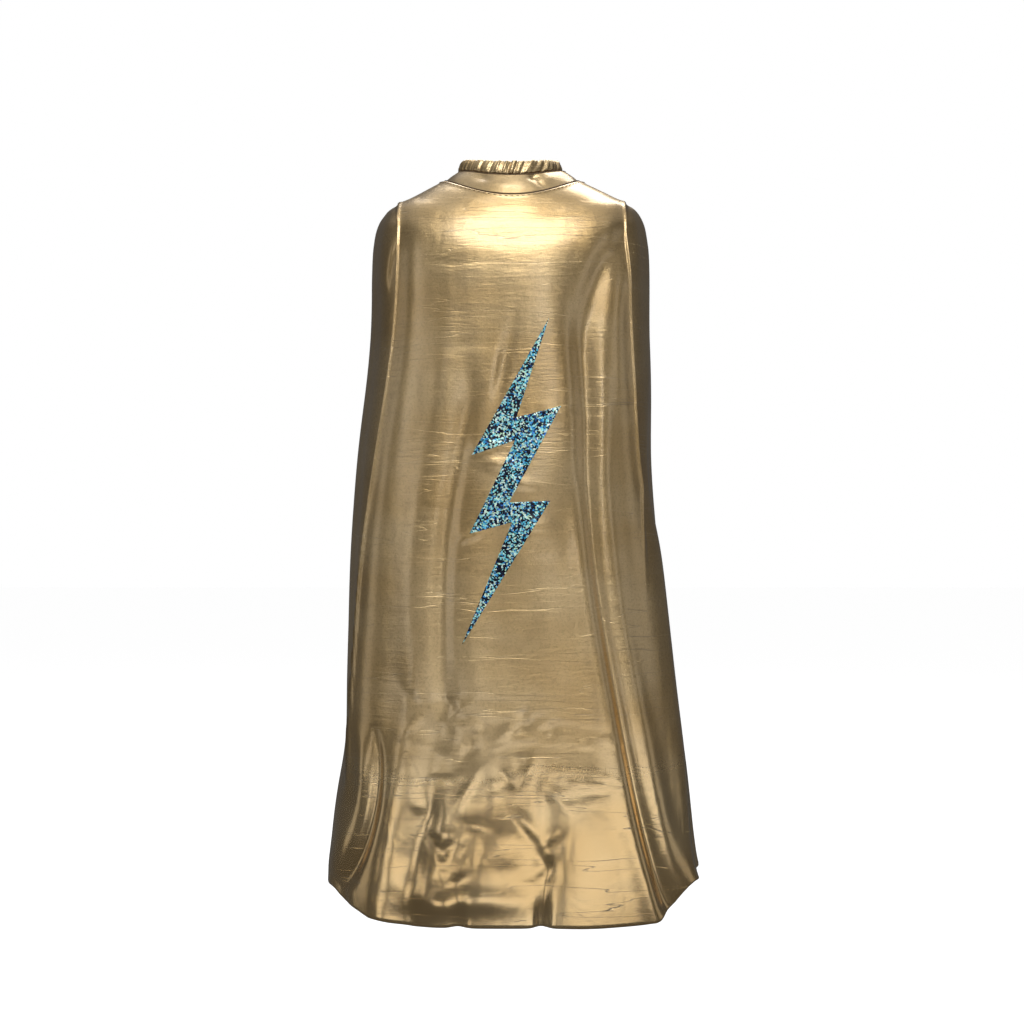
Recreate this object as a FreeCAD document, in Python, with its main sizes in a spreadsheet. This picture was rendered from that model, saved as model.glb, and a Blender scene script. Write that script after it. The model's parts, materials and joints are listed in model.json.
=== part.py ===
# A child's superhero cape: a gold foil cloth cape, bag-lined, that hangs from a collar stand and a gathered
# elastic neckband, closes at the front with a hook-and-loop tab, and wears a lightning bolt on its back.
# Origin at the centre of the neck opening. The wearer faces +Y, the back of the cape is towards -Y.
import FreeCAD, Part
import Sketcher
import math
import os

Vector = FreeCAD.Vector

# ---------------------------------------------------------------- driving sizes, millimetres and degrees
SIZES = [
    ("neck_radius", 45.0, "inside radius of the neckband, a child's neck"),
    ("band_height", 11.0, "height of the neckband"),
    ("band_puff", 4.0, "depth of the gathered band at its top edge"),
    ("band_flare", 5.0, "how much wider the band's foot is than its top"),
    ("band_dip", 8.0, "how much lower the band's top runs at the back than at the sides"),
    ("band_foot_dip", 12.0, "the same at the band's foot"),
    ("elastic_height", 7.0, "width of the elastic"),
    ("elastic_thickness", 1.0, "thickness of the elastic"),
    ("elastic_clearance", 0.4, "air round the elastic in its casing"),
    ("collar_radius", 69.0, "radius of the seam that joins the collar stand to the cape"),
    ("collar_drop", 17.0, "depth of that seam below the origin, at the sides of the neck"),
    ("collar_dip", 25.0, "how much lower that seam runs at the back than at the sides"),
    ("front_gap", 18.0, "opening between the collar's two front edges"),
    ("shoulder_width", 284.0, "width over the shoulders"),
    ("shoulder_drop", 80.0, "depth of the shoulder points below the origin"),
    ("shoulder_dip", 36.0, "how much lower the back turns vertical than the shoulders"),
    ("body_depth", 172.0, "front to back over the shoulder blades"),
    ("hem_width", 374.0, "width of the hem"),
    ("hem_depth", 186.0, "front to back at the hem"),
    ("cape_drop", 744.0, "depth of the hem below the origin"),
    ("hem_lift", 14.0, "how much the hem rises towards the front edges"),
    ("shoulder_wrap", 132.0, "angle from the back to each front edge at the shoulders"),
    ("hem_wrap", 116.0, "angle from the back to each front edge at the hem"),
    ("cloth_thickness", 1.0, "foil cloth with its turned edge"),
    ("lining_thickness", 0.8, "lining cloth"),
    ("interfacing_thickness", 0.5, "stiffener inside the collar stand"),
    ("layer_gap", 0.3, "air between two layers"),
    ("seam_gap", 0.4, "gap between two pieces that meet edge to edge"),
    ("front_facing_width", 26.0, "facing inside each front edge"),
    ("hem_facing_width", 38.0, "facing inside the hem"),
    ("bolt_height", 314.0, "lightning bolt, tip to tip"),
    ("bolt_width", 95.0, "lightning bolt, side to side"),
    ("bolt_offset", -0.5, "sideways place of the bolt's middle"),
    ("bolt_drop", 161.5, "depth of the bolt's top tip below the origin"),
    ("bolt_thickness", 0.4, "holographic film"),
    ("bond_thickness", 0.2, "bond web that holds the film"),
    ("tab_reach", 48.0, "length of the closure tab past its sewn end"),
    ("tab_sewn", 14.0, "length of the tab's sewn end"),
    ("tab_set_back", 4.0, "distance of the tab's fold from the collar's front edge"),
    ("tab_height", 19.0, "width of the tab"),
    ("pad_reach", 18.0, "length of a hook-and-loop pad"),
    ("pad_height", 14.0, "width of a hook-and-loop pad"),
    ("pad_thickness", 0.9, "thickness of a hook-and-loop pad"),
    ("tab_clearance", 0.3, "air between the hook pad and the loop pad"),
    ("thread_diameter", 0.5, "sewing thread"),
    ("stitch_length", 3.4, "visible length of one stitch"),
    ("stitch_pitch", 5.6, "distance from stitch to stitch"),
    ("stitch_margin", 3.0, "distance from a stitch row to its edge"),
    ("tack_length", 7.0, "bar tack that holds the rolled hem"),
    ("tack_diameter", 1.2, "thickness of a bar tack"),
    ("label_width", 22.0, "blank care label"),
    ("label_length", 34.0, "blank care label, hanging length"),
    ("label_thickness", 0.4, "blank care label"),
    ("label_set_in", 3.0, "air between the lining and the label"),
    ("label_below_seam", 2.0, "distance of the label's top below the collar seam"),
]

doc = FreeCAD.newDocument("superhero_cape")
sheet = doc.addObject("Spreadsheet::Sheet", "sizes")
for row, (alias, value, note) in enumerate(SIZES, start=1):
    sheet.set("A%d" % row, note)
    sheet.set("B%d" % row, str(value))
    sheet.setAlias("B%d" % row, alias)
doc.recompute()


def size(alias):
    return float(sheet.get(alias))


# ---------------------------------------------------------------- the cape as a formed surface
# Angles turn about the neck's axis from the back (0) to the front (180), positive towards the wearer's left (+X).
ROUND = 2.0                 # squareness of a plain circle or ellipse
SQUARE_TORSO = 2.7          # squareness of the plan over the body
FLARE_POWER = 1.3           # how late the cape flares on its way down
OPENING_POWER = 0.6         # how soon the front edges part below the collar
DIP_POWER = 3               # how soon the back's dip fades below the shoulders
LIFT_POWER = 4              # how late the hem's lift sets in
# over the shoulder, a straight slope that turns down at the shoulder point, as shares of the way from the
# collar seam: sideways, down, how far the back has dropped, how far the plan has turned from round to square
SHOULDER_SLOPE = ((0.44, 0.25, 0.2, 0.35), (0.83, 0.47, 0.9, 0.7), (1.0, 1.0, 1.0, 1.0))
SHOULDER_LEVEL = 3.0        # number of the ring at the shoulder points
BODY_RINGS = 7              # rings from there to the hem
AROUND = 49                 # points across the foil cloth's surface
AROUND_INSIDE = 41          # points across the layers inside it, and round the collar
SLOPE_POINTS = 13           # points down a surface over the shoulders
BODY_POINTS = 12            # points down a surface from there to the hem
STEP = 1e-4                 # step of the numeric tangents


class Ring:
    """One level of the cape: its half width, half depth, height, dip, front angle, squareness and lift."""

    FIELDS = ("half_width", "half_depth", "drop", "dip", "wrap", "square", "lift")

    def __init__(self, *values):
        for field, value in zip(self.FIELDS, values):
            setattr(self, field, value)


def seam_wrap():
    """Angle at which the collar's front edges stand."""
    return 180.0 - math.degrees(size("front_gap") / 2 / size("collar_radius"))


def make_rings():
    """Levels of the cape from the collar seam to the hem."""
    seam = size("collar_radius")
    shoulder = size("shoulder_width") / 2
    drop = size("shoulder_drop")
    start = size("collar_drop")
    dip = size("collar_dip")
    shoulder_dip = size("shoulder_dip")
    depth = size("body_depth") / 2
    wrap = size("shoulder_wrap")
    rings = [Ring(seam, seam, start, dip, seam_wrap(), ROUND, 0.0)]
    for across, down, falls, turned in SHOULDER_SLOPE:
        rings.append(Ring(
            seam + across * (shoulder - seam),
            seam + turned * (depth - seam),
            start + down * (drop - start),
            dip + falls * (shoulder_dip - dip),
            seam_wrap() + (across ** OPENING_POWER) * (wrap - seam_wrap()),
            ROUND + turned * (SQUARE_TORSO - ROUND),
            0.0))
    for level in range(1, BODY_RINGS + 1):
        part = level / BODY_RINGS
        flare = part ** FLARE_POWER
        rings.append(Ring(
            shoulder + flare * (size("hem_width") / 2 - shoulder),
            depth + flare * (size("hem_depth") / 2 - depth),
            drop + part * (size("cape_drop") - drop),
            shoulder_dip * (1 - part) ** DIP_POWER,
            wrap + part * (size("hem_wrap") - wrap),
            SQUARE_TORSO,
            size("hem_lift") * part ** LIFT_POWER))
    return rings


RINGS = make_rings()
LAST = len(RINGS) - 1


def ring_value(field, level):
    """A ring's field at a fractional level, on a smooth curve through the rings."""
    index = min(int(level), LAST - 1)
    part = level - index
    before = getattr(RINGS[max(index - 1, 0)], field)
    this = getattr(RINGS[index], field)
    after = getattr(RINGS[index + 1], field)
    beyond = getattr(RINGS[min(index + 2, LAST)], field)
    slope_a = (after - before) / 2
    slope_b = (beyond - this) / 2
    return ((2 * part ** 3 - 3 * part ** 2 + 1) * this + (part ** 3 - 2 * part ** 2 + part) * slope_a
            + (3 * part ** 2 - 2 * part ** 3) * after + (part ** 3 - part ** 2) * slope_b)


def cape_point(across, level):
    """A point of the cape's outer face; across runs from -1 to 1 between the front edges."""
    angle = math.radians(across * ring_value("wrap", level))
    side = math.sin(angle)
    back = math.cos(angle)
    square = ring_value("square", level)
    width_part = abs(side / ring_value("half_width", level))
    depth_part = abs(back / ring_value("half_depth", level))
    reach = (width_part ** square + depth_part ** square) ** (-1 / square)
    lift = ring_value("lift", level) * max(0.0, -back) * 2
    height = -ring_value("drop", level) - ring_value("dip", level) * back ** 2 + lift
    return Vector(reach * side, -reach * back, height)


def collar_point(angle_deg, level):
    """A point of the collar stand's outer face; level runs from 0 at the neckband to 1 at the seam."""
    angle = math.radians(angle_deg)
    foot_radius = size("neck_radius") + size("band_puff") + size("band_flare")
    radius = foot_radius + level * (size("collar_radius") - foot_radius)
    foot = size("band_height") / 2
    drop = foot + level * (size("collar_drop") - foot)
    dip = size("band_foot_dip") + level * (size("collar_dip") - size("band_foot_dip"))
    return Vector(radius * math.sin(angle), -radius * math.cos(angle), -drop - dip * math.cos(angle) ** 2)


def inside(surface, first, second, inset):
    """A point of the surface moved inwards, square to it."""
    here = surface(first, second)
    along = surface(first + STEP, second) - surface(first - STEP, second)
    low = max(second - STEP, 0.0)
    down = surface(first, second + STEP) - surface(first, low)
    normal = along.cross(down)
    normal.normalize()
    outward = Vector(here.x, here.y, 0)
    if normal.dot(outward) < 0:
        normal = normal * -1
    return here - normal * inset


def spread(start, end, count):
    """Evenly spaced values from start to end."""
    return [start + (end - start) * index / (count - 1) for index in range(count)]


def layer(surface, firsts, seconds, near, far):
    """A closed solid between two insets of a surface, over the given grid."""
    faces = []
    for inset in (near, far):
        grid = [[inside(surface, first, second, inset) for second in seconds] for first in firsts]
        face = Part.BSplineSurface()
        face.interpolate(grid)
        faces.append(face)
    return close_layer(faces[0], faces[1])


def close_layer(outer, inner):
    """A solid from two like surfaces and the four faces that join their edges."""
    u_start, u_end, v_start, v_end = outer.bounds()
    borders = []
    for constant, value in (("u", u_start), ("u", u_end), ("v", v_start), ("v", v_end)):
        lines = []
        for surface in (outer, inner):
            curve = surface.uIso(value) if constant == "u" else surface.vIso(value)
            lines.append(curve.toShape())
        borders.append(Part.makeRuledSurface(lines[0], lines[1]))
    shell = Part.Shell([outer.toShape(), inner.toShape()] + borders)
    shell.sewShape()
    solid = Part.Solid(shell)
    if solid.Volume < 0:
        solid.reverse()
    return solid


def feature(name, shape):
    """A free-form sub-part of the document."""
    item = doc.addObject("Part::Feature", name)
    item.Shape = shape
    item.Label = name
    item.Placement = FreeCAD.Placement()
    return item


SUBPARTS = []


def keep(item, name):
    item.Label = name
    SUBPARTS.append(item)
    return item


# ---------------------------------------------------------------- depths of the layers, outside to inside
CLOTH = size("cloth_thickness")
GAP = size("layer_gap")
LINING_OUT = CLOTH + GAP
LINING_IN = LINING_OUT + size("lining_thickness")
HEM_LEVEL = float(LAST)


def level_above_hem(length):
    """The cape level that lies a length above the hem."""
    last_drop = RINGS[LAST].drop - RINGS[LAST - 1].drop
    return HEM_LEVEL - length / last_drop


def across_at(level, length):
    """How much of across a length covers, at a front edge."""
    edge = cape_point(1.0, level)
    near = cape_point(0.99, level)
    return 0.01 * length / (edge - near).Length


SEAM_LEVEL = size("seam_gap") / 2 / (cape_point(0, 0.05) - cape_point(0, 0)).Length * 0.05
SPLIT_LEVEL = SHOULDER_LEVEL + 1        # where the close points over the shoulders give way to wider ones
LEVELS = spread(SEAM_LEVEL, SPLIT_LEVEL, SLOPE_POINTS) + spread(SPLIT_LEVEL, HEM_LEVEL, BODY_POINTS)[1:]


def outer_shell():
    """The foil cloth, one panel from front edge to front edge."""
    return feature("outer_shell", layer(cape_point, spread(-1, 1, AROUND), LEVELS, 0, CLOTH))


def edge_split(level, sign, gap):
    """Across value that parts the front facing from the lining at a level."""
    width = size("front_facing_width") + gap
    return sign * (1 - across_at(level, width))


def between_facings(part, level):
    """A surface in the cape whose first parameter runs from one front facing to the other."""
    left = edge_split(level, -1, size("seam_gap"))
    right = edge_split(level, 1, size("seam_gap"))
    return cape_point(left + (part + 1) / 2 * (right - left), level)


def lining():
    """The lining, between the two front facings and above the hem facing."""
    bottom = level_above_hem(size("hem_facing_width") + size("seam_gap"))
    levels = spread(SEAM_LEVEL, SPLIT_LEVEL, SLOPE_POINTS) + spread(SPLIT_LEVEL, bottom, BODY_POINTS - 1)[1:]
    return feature("lining", layer(between_facings, spread(-1, 1, AROUND_INSIDE), levels, LINING_OUT, LINING_IN))


def hem_facing():
    """The foil cloth's turned hem, inside, between the front facings."""
    levels = spread(level_above_hem(size("hem_facing_width")), HEM_LEVEL, 5)
    return feature("hem_facing", layer(
        between_facings, spread(-1, 1, AROUND_INSIDE), levels, LINING_OUT, LINING_IN))


def front_facing(sign, name):
    """The facing inside one front edge."""
    def point(part, level):
        return cape_point(sign + part * (edge_split(level, sign, 0) - sign), level)
    return feature(name, layer(point, spread(0, 1, 5), LEVELS, LINING_OUT, LINING_IN))


# ---------------------------------------------------------------- collar stand and neckband
def collar_layer(name, near, far):
    edge = seam_wrap()
    seam = size("seam_gap") / 2 / (collar_point(0, 1) - collar_point(0, 0)).Length
    return feature(name, layer(collar_point, spread(-edge, edge, AROUND_INSIDE), spread(seam, 1 - seam, 4), near, far))


def band_wall(radius_top, radius_foot, raise_foot, lower_top):
    """A face of the neckband: angle round the neck, level from its top edge to its foot."""
    height = size("band_height")

    def point(angle_deg, level):
        angle = math.radians(angle_deg)
        part = lower_top / height + level * (1 - (raise_foot + lower_top) / height)
        radius = radius_top + level * (radius_foot - radius_top)
        dip = size("band_dip") + part * (size("band_foot_dip") - size("band_dip"))
        drop = -height / 2 + part * height
        return Vector(radius * math.sin(angle), -radius * math.cos(angle), -drop - dip * math.cos(angle) ** 2)
    return point


def ring_solid(outer, inner, edge):
    """A closed solid between two walls of the neckband."""
    faces = []
    for wall in (outer, inner):
        face = Part.BSplineSurface()
        angles = spread(-edge, edge, AROUND_INSIDE)
        face.interpolate([[wall(angle, level) for level in spread(0, 1, 4)] for angle in angles])
        faces.append(face)
    return close_layer(faces[0], faces[1])


BORE_SKIN = 0.5             # cloth that the neck's bore takes off the casing's inner wall


def neckband():
    """The gathered casing: its outside less the neck's bore and the channel that holds the elastic."""
    neck = size("neck_radius")
    top = neck + size("band_puff")
    casing = feature("neckband_casing", ring_solid(
        band_wall(top, top + size("band_flare"), 0, 0), band_wall(neck - BORE_SKIN, neck - BORE_SKIN, 0, 0),
        seam_wrap()))
    bore = doc.addObject("Part::Cylinder", "neck_bore")
    bore.setExpression("Radius", "sizes.neck_radius")
    bore.setExpression("Height", "4 * (sizes.band_height + sizes.band_foot_dip)")
    bore.setExpression(".Placement.Base.z", "-2 * (sizes.band_height + sizes.band_foot_dip)")
    middle = neck + size("band_puff") / 2
    half = size("elastic_thickness") / 2 + size("elastic_clearance")
    air = (size("band_height") - size("elastic_height")) / 2 - size("elastic_clearance")
    channel = feature("elastic_channel", ring_solid(
        band_wall(middle + half, middle + half, air, air), band_wall(middle - half, middle - half, air, air),
        seam_wrap() - 1))
    bored = doc.addObject("Part::Cut", "bored_casing")
    bored.Base = casing
    bored.Tool = bore
    cut = doc.addObject("Part::Cut", "neckband")
    cut.Base = bored
    cut.Tool = channel
    return cut


def neck_elastic():
    """The elastic inside the casing."""
    middle = size("neck_radius") + size("band_puff") / 2
    half = size("elastic_thickness") / 2
    air = (size("band_height") - size("elastic_height")) / 2
    return feature("neck_elastic", ring_solid(
        band_wall(middle + half, middle + half, air, air), band_wall(middle - half, middle - half, air, air),
        seam_wrap() - 2))


# ---------------------------------------------------------------- closure tab with its pads, on the collar stand
COLLAR_FRONT = (collar_point(180, 1) - collar_point(180, 0)).Length
MID_RADIUS = (collar_point(180, 0.5).x ** 2 + collar_point(180, 0.5).y ** 2) ** 0.5
PAD_OUT = size("layer_gap") + size("pad_thickness")
LOOP_OUT = PAD_OUT + size("tab_clearance") + size("pad_thickness")
TAB_OUT = LOOP_OUT + size("layer_gap") + CLOTH


def collar_patch(name, start, reach, height, near, far):
    """A patch of cloth on the collar stand: starts at an angle and reaches on round the front."""
    low = 0.5 - height / 2 / COLLAR_FRONT
    high = 0.5 + height / 2 / COLLAR_FRONT
    end = start + math.degrees(reach / MID_RADIUS)
    return feature(name, layer(collar_point, spread(start, end, 11), spread(low, high, 4), near, far))


def tab_root():
    """Angle at which the tab's sewn end stops and its free length starts."""
    return 180.0 - math.degrees((size("front_gap") / 2 + size("tab_set_back")) / MID_RADIUS)


def pad_start():
    """Angle at which the two pads start, past the front opening, under the tab's free end."""
    return tab_root() + math.degrees((size("tab_reach") - size("pad_reach") - size("stitch_margin")) / MID_RADIUS)


def closure_tab():
    return collar_patch("closure_tab", tab_root(), size("tab_reach"), size("tab_height"), CLOTH - TAB_OUT, -TAB_OUT)


def tab_base():
    """The tab's sewn end, stitched through the collar stand."""
    start = tab_root() - math.degrees((size("tab_sewn") + size("seam_gap")) / MID_RADIUS)
    return collar_patch("tab_base", start, size("tab_sewn"), size("tab_height"), CLOTH - TAB_OUT, -TAB_OUT)


def loop_pad():
    return collar_patch("loop_pad", pad_start(), size("pad_reach"), size("pad_height"),
                        size("pad_thickness") - LOOP_OUT, -LOOP_OUT)


def hook_pad():
    return collar_patch("hook_pad", pad_start(), size("pad_reach"), size("pad_height"),
                        -size("layer_gap"), -PAD_OUT)


# ---------------------------------------------------------------- lightning bolt, film on a bond web
# corners as shares of the bolt's width (from its middle) and of its height (down from its top tip)
BOLT_CORNERS = [
    (0.38, 0.00), (0.05, 0.305), (0.50, 0.27), (-0.025, 0.565), (0.39, 0.56), (-0.50, 1.00),
    (0.005, 0.625), (-0.42, 0.66), (0.035, 0.375), (-0.40, 0.42),
]
BOLT_PUNCH = 60.0           # thickness of the punch that cuts the bolt out of its layer
BOLT_SIDE = 0.45            # the layer it is cut from reaches this far across the cape, both ways
BOLT_LEVELS = (3.2, 8.5)    # and from the first level to the second
FILM_GAP = 0.1              # air between the bond web and the film


def bolt_punch():
    """A block with the bolt's outline, behind the back panel."""
    body = doc.addObject("PartDesign::Body", "bolt_punch")
    sketch = body.newObject("Sketcher::SketchObject", "bolt_outline")
    plane = [item for item in body.Origin.OriginFeatures if item.Role == "XZ_Plane"][0]
    sketch.AttachmentSupport = (plane, [""])
    sketch.MapMode = "FlatFace"
    corners = [Vector(x * size("bolt_width"), -z * size("bolt_height"), 0) for x, z in BOLT_CORNERS]
    for index, corner in enumerate(corners):
        sketch.addGeometry(Part.LineSegment(corner, corners[(index + 1) % len(corners)]), False)
    for index in range(len(corners)):
        following = (index + 1) % len(corners)
        sketch.addConstraint(Sketcher.Constraint("Coincident", index, 2, following, 1))
    for index, (share_x, share_z) in enumerate(BOLT_CORNERS):
        for kind, share, alias in (("DistanceX", share_x, "bolt_width"), ("DistanceY", -share_z, "bolt_height")):
            value = share * size(alias)
            number = sketch.addConstraint(Sketcher.Constraint(kind, -1, 1, index, 1, value))
            sketch.setExpression("Constraints[%d]" % number, "sizes.%s * %s" % (alias, share))
    pad = body.newObject("PartDesign::Pad", "bolt_pad")
    pad.Profile = sketch
    pad.Length = BOLT_PUNCH
    pad.Reversed = False
    body.setExpression(".Placement.Base.x", "sizes.bolt_offset")
    body.setExpression(".Placement.Base.y", "-sizes.body_depth / 2 + %s / 2" % BOLT_PUNCH)
    body.setExpression(".Placement.Base.z", "-sizes.bolt_drop")
    return body


def bolt_layer(name, punch, near, far):
    """The bolt's outline cut out of a layer on the back panel."""
    sheet_layer = feature(name + "_sheet", layer(
        cape_point, spread(-BOLT_SIDE, BOLT_SIDE, 21), spread(*BOLT_LEVELS, 15), near, far))
    common = doc.addObject("Part::MultiCommon", name)
    common.Shapes = [sheet_layer, punch]
    return common


# ---------------------------------------------------------------- sewing thread
def stitch(start, end):
    """One straight stitch between two points."""
    return Part.makeCylinder(size("thread_diameter") / 2, (end - start).Length, start, end - start)


def stitch_row(path, length):
    """Separate stitches along a path; path(part) is a point, part from 0 to 1."""
    pitch = size("stitch_pitch")
    count = max(2, int(length / pitch))
    covered = size("stitch_length") / pitch
    stitches = []
    for index in range(count):
        start = path((index + 0.5 - covered / 2) / count)
        end = path((index + 0.5 + covered / 2) / count)
        stitches.append(stitch(start, end))
    return stitches


def path_length(path):
    points = [path(part) for part in spread(0, 1, 60)]
    return sum((after - before).Length for before, after in zip(points, points[1:]))


def thread_feature(name, paths):
    rows = []
    for path in paths:
        rows += stitch_row(path, path_length(path))
    return feature(name, Part.makeCompound(rows))


THREAD_AIR = 0.2            # air between a thread and the cloth it lies on
THREAD_OUT = size("thread_diameter") / 2 + THREAD_AIR
THREAD_IN = LINING_IN + THREAD_OUT
COLLAR_ROW = 0.97           # the row below the collar seam reaches this far across the cape, both ways
HEM_ROW = 0.86              # and the row inside the hem this far
ROW_END = 0.15              # a front edge's row stops this part of a level short of the seam and of the hem
ROW_CORNER = 1.6            # degrees that the long rows of a box stay clear of the short ones


def collar_topstitch():
    """A stitch row on the cape just below the collar seam."""
    level = size("stitch_margin") / (cape_point(0, 0.2) - cape_point(0, 0)).Length * 0.2
    return thread_feature("collar_topstitch", [
        lambda part: inside(cape_point, COLLAR_ROW * (2 * part - 1), level, -THREAD_OUT)])


def neckband_stitch():
    """A stitch row on the collar stand just below the neckband."""
    edge = seam_wrap() - 3
    level = size("stitch_margin") / 2 / COLLAR_FRONT
    return thread_feature("neckband_stitch", [
        lambda part: inside(collar_point, edge * (2 * part - 1), level, -THREAD_OUT)])


def front_stitch(sign, name):
    """A stitch row along one front edge."""
    def path(part):
        level = SEAM_LEVEL + ROW_END + part * (HEM_LEVEL - SEAM_LEVEL - 2 * ROW_END)
        across = sign * (1 - across_at(level, size("stitch_margin")))
        return inside(cape_point, across, level, -THREAD_OUT)
    return thread_feature(name, [path])


def hem_stitch():
    """The stitch row inside, along the hem facing's upper edge."""
    level = level_above_hem(size("hem_facing_width") - size("stitch_margin"))
    return thread_feature("hem_stitch", [
        lambda part: inside(cape_point, HEM_ROW * (2 * part - 1), level, THREAD_IN)])


def box_stitch(name, start, reach, height, depth):
    """Four stitch rows round a patch on the collar stand."""
    margin = size("stitch_margin") / 2
    first = start + math.degrees(margin / MID_RADIUS)
    last = start + math.degrees((reach - margin) / MID_RADIUS)
    low = 0.5 - (height / 2 - margin) / COLLAR_FRONT
    high = 0.5 + (height / 2 - margin) / COLLAR_FRONT

    def run(angle_a, level_a, angle_b, level_b):
        return lambda part: inside(collar_point, angle_a + part * (angle_b - angle_a),
                                   level_a + part * (level_b - level_a), depth)
    inner_first = first + ROW_CORNER
    inner_last = last - ROW_CORNER
    return thread_feature(name, [
        run(inner_first, low, inner_last, low), run(inner_first, high, inner_last, high),
        run(first, low, first, high), run(last, low, last, high)])


def tab_base_stitch():
    start = tab_root() - math.degrees((size("tab_sewn") + size("seam_gap")) / MID_RADIUS)
    return box_stitch("tab_base_stitch", start, size("tab_sewn"), size("tab_height"), -TAB_OUT - THREAD_OUT)


def loop_pad_stitch():
    return box_stitch("loop_pad_stitch", pad_start(), size("pad_reach"), size("pad_height"),
                      -TAB_OUT - THREAD_OUT)


# ---------------------------------------------------------------- hem tacks and care label
TACK_PLACES = (-0.253, 0.145, 0.533)    # places of the tacks across the cape


def hem_tacks():
    """Three bar tacks inside the hem, where its rolled edge is caught up."""
    depth = LINING_IN + GAP + size("tack_diameter") / 2
    level = level_above_hem(size("stitch_margin"))
    tacks = []
    for number, across in enumerate(TACK_PLACES, start=1):
        tack = doc.addObject("Part::Cylinder", "hem_tack_%d" % number)
        tack.setExpression("Radius", "sizes.tack_diameter / 2")
        tack.setExpression("Height", "sizes.tack_length")
        middle = inside(cape_point, across, level, depth)
        along = inside(cape_point, across + STEP, level, depth) - middle
        along.normalize()
        start = middle - along * (size("tack_length") / 2)
        tack.Placement = FreeCAD.Placement(start, FreeCAD.Rotation(Vector(0, 0, 1), along))
        tacks.append(tack)
    group = doc.addObject("Part::Compound", "hem_tacks")
    group.Links = tacks
    return group


def care_label():
    """A blank label that hangs inside from the collar seam at the centre back."""
    body = doc.addObject("PartDesign::Body", "care_label")
    block = body.newObject("PartDesign::AdditiveBox", "label_block")
    block.setExpression("Length", "sizes.label_width")
    block.setExpression("Width", "sizes.label_thickness")
    block.setExpression("Height", "sizes.label_length")
    body.setExpression(".Placement.Base.x", "-sizes.label_width / 2")
    depth = "sizes.cloth_thickness + sizes.lining_thickness + 2 * sizes.layer_gap"
    top = "sizes.collar_drop + sizes.collar_dip + sizes.label_below_seam"
    body.setExpression(".Placement.Base.y", "-sizes.collar_radius + %s + sizes.label_set_in" % depth)
    body.setExpression(".Placement.Base.z", "-(%s) - sizes.label_length" % top)
    return body


# ---------------------------------------------------------------- assembly
keep(outer_shell(), "outer_shell")
keep(lining(), "lining")
keep(hem_facing(), "hem_facing")
keep(front_facing(-1, "front_facing_right"), "front_facing_right")
keep(front_facing(1, "front_facing_left"), "front_facing_left")
keep(collar_layer("collar_stand", 0, CLOTH), "collar_stand")
INTERFACING_IN = CLOTH + GAP + size("interfacing_thickness")
keep(collar_layer("collar_interfacing", CLOTH + GAP, INTERFACING_IN), "collar_interfacing")
keep(collar_layer("collar_lining", INTERFACING_IN + GAP, INTERFACING_IN + GAP + size("lining_thickness")),
     "collar_lining")
keep(neckband(), "neckband")
keep(neck_elastic(), "neck_elastic")
keep(tab_base(), "tab_base")
keep(closure_tab(), "closure_tab")
keep(loop_pad(), "loop_pad")
keep(hook_pad(), "hook_pad")
PUNCH = bolt_punch()
BOND_OUT = GAP + size("bond_thickness")
keep(bolt_layer("bolt_bond_web", PUNCH, -GAP, -BOND_OUT), "bolt_bond_web")
FILM_IN = BOND_OUT + FILM_GAP
keep(bolt_layer("lightning_bolt", PUNCH, -FILM_IN, -FILM_IN - size("bolt_thickness")), "lightning_bolt")
keep(collar_topstitch(), "collar_topstitch")
keep(neckband_stitch(), "neckband_stitch")
keep(front_stitch(-1, "front_stitch_right"), "front_stitch_right")
keep(front_stitch(1, "front_stitch_left"), "front_stitch_left")
keep(hem_stitch(), "hem_stitch")
keep(tab_base_stitch(), "tab_base_stitch")
keep(loop_pad_stitch(), "loop_pad_stitch")
keep(hem_tacks(), "hem_tacks")
keep(care_label(), "care_label")
doc.recompute()

for item in doc.Objects:
    if "Invalid" in item.State or "Error" in item.State:
        raise RuntimeError("%s did not compute: %s" % (item.Label, item.State))
os.makedirs("parts", exist_ok=True)
for item in SUBPARTS:
    shape = item.Shape
    if shape.isNull() or not shape.isValid() or shape.Volume <= 0:
        raise RuntimeError("%s has no valid solid" % item.Label)
    shape.exportStep("parts/%s.step" % item.Label)
    box = shape.BoundBox
    print("%-22s solids %3d volume %9.1f mm3  x %6.1f %6.1f  y %6.1f %6.1f  z %6.1f %6.1f" % (
        item.Label, len(shape.Solids), shape.Volume, box.XMin, box.XMax, box.YMin, box.YMax, box.ZMin, box.ZMax))
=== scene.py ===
import json
import math

import bmesh
import bpy
import numpy as np
from mathutils import Matrix, Vector
from mathutils.bvhtree import BVHTree


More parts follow.
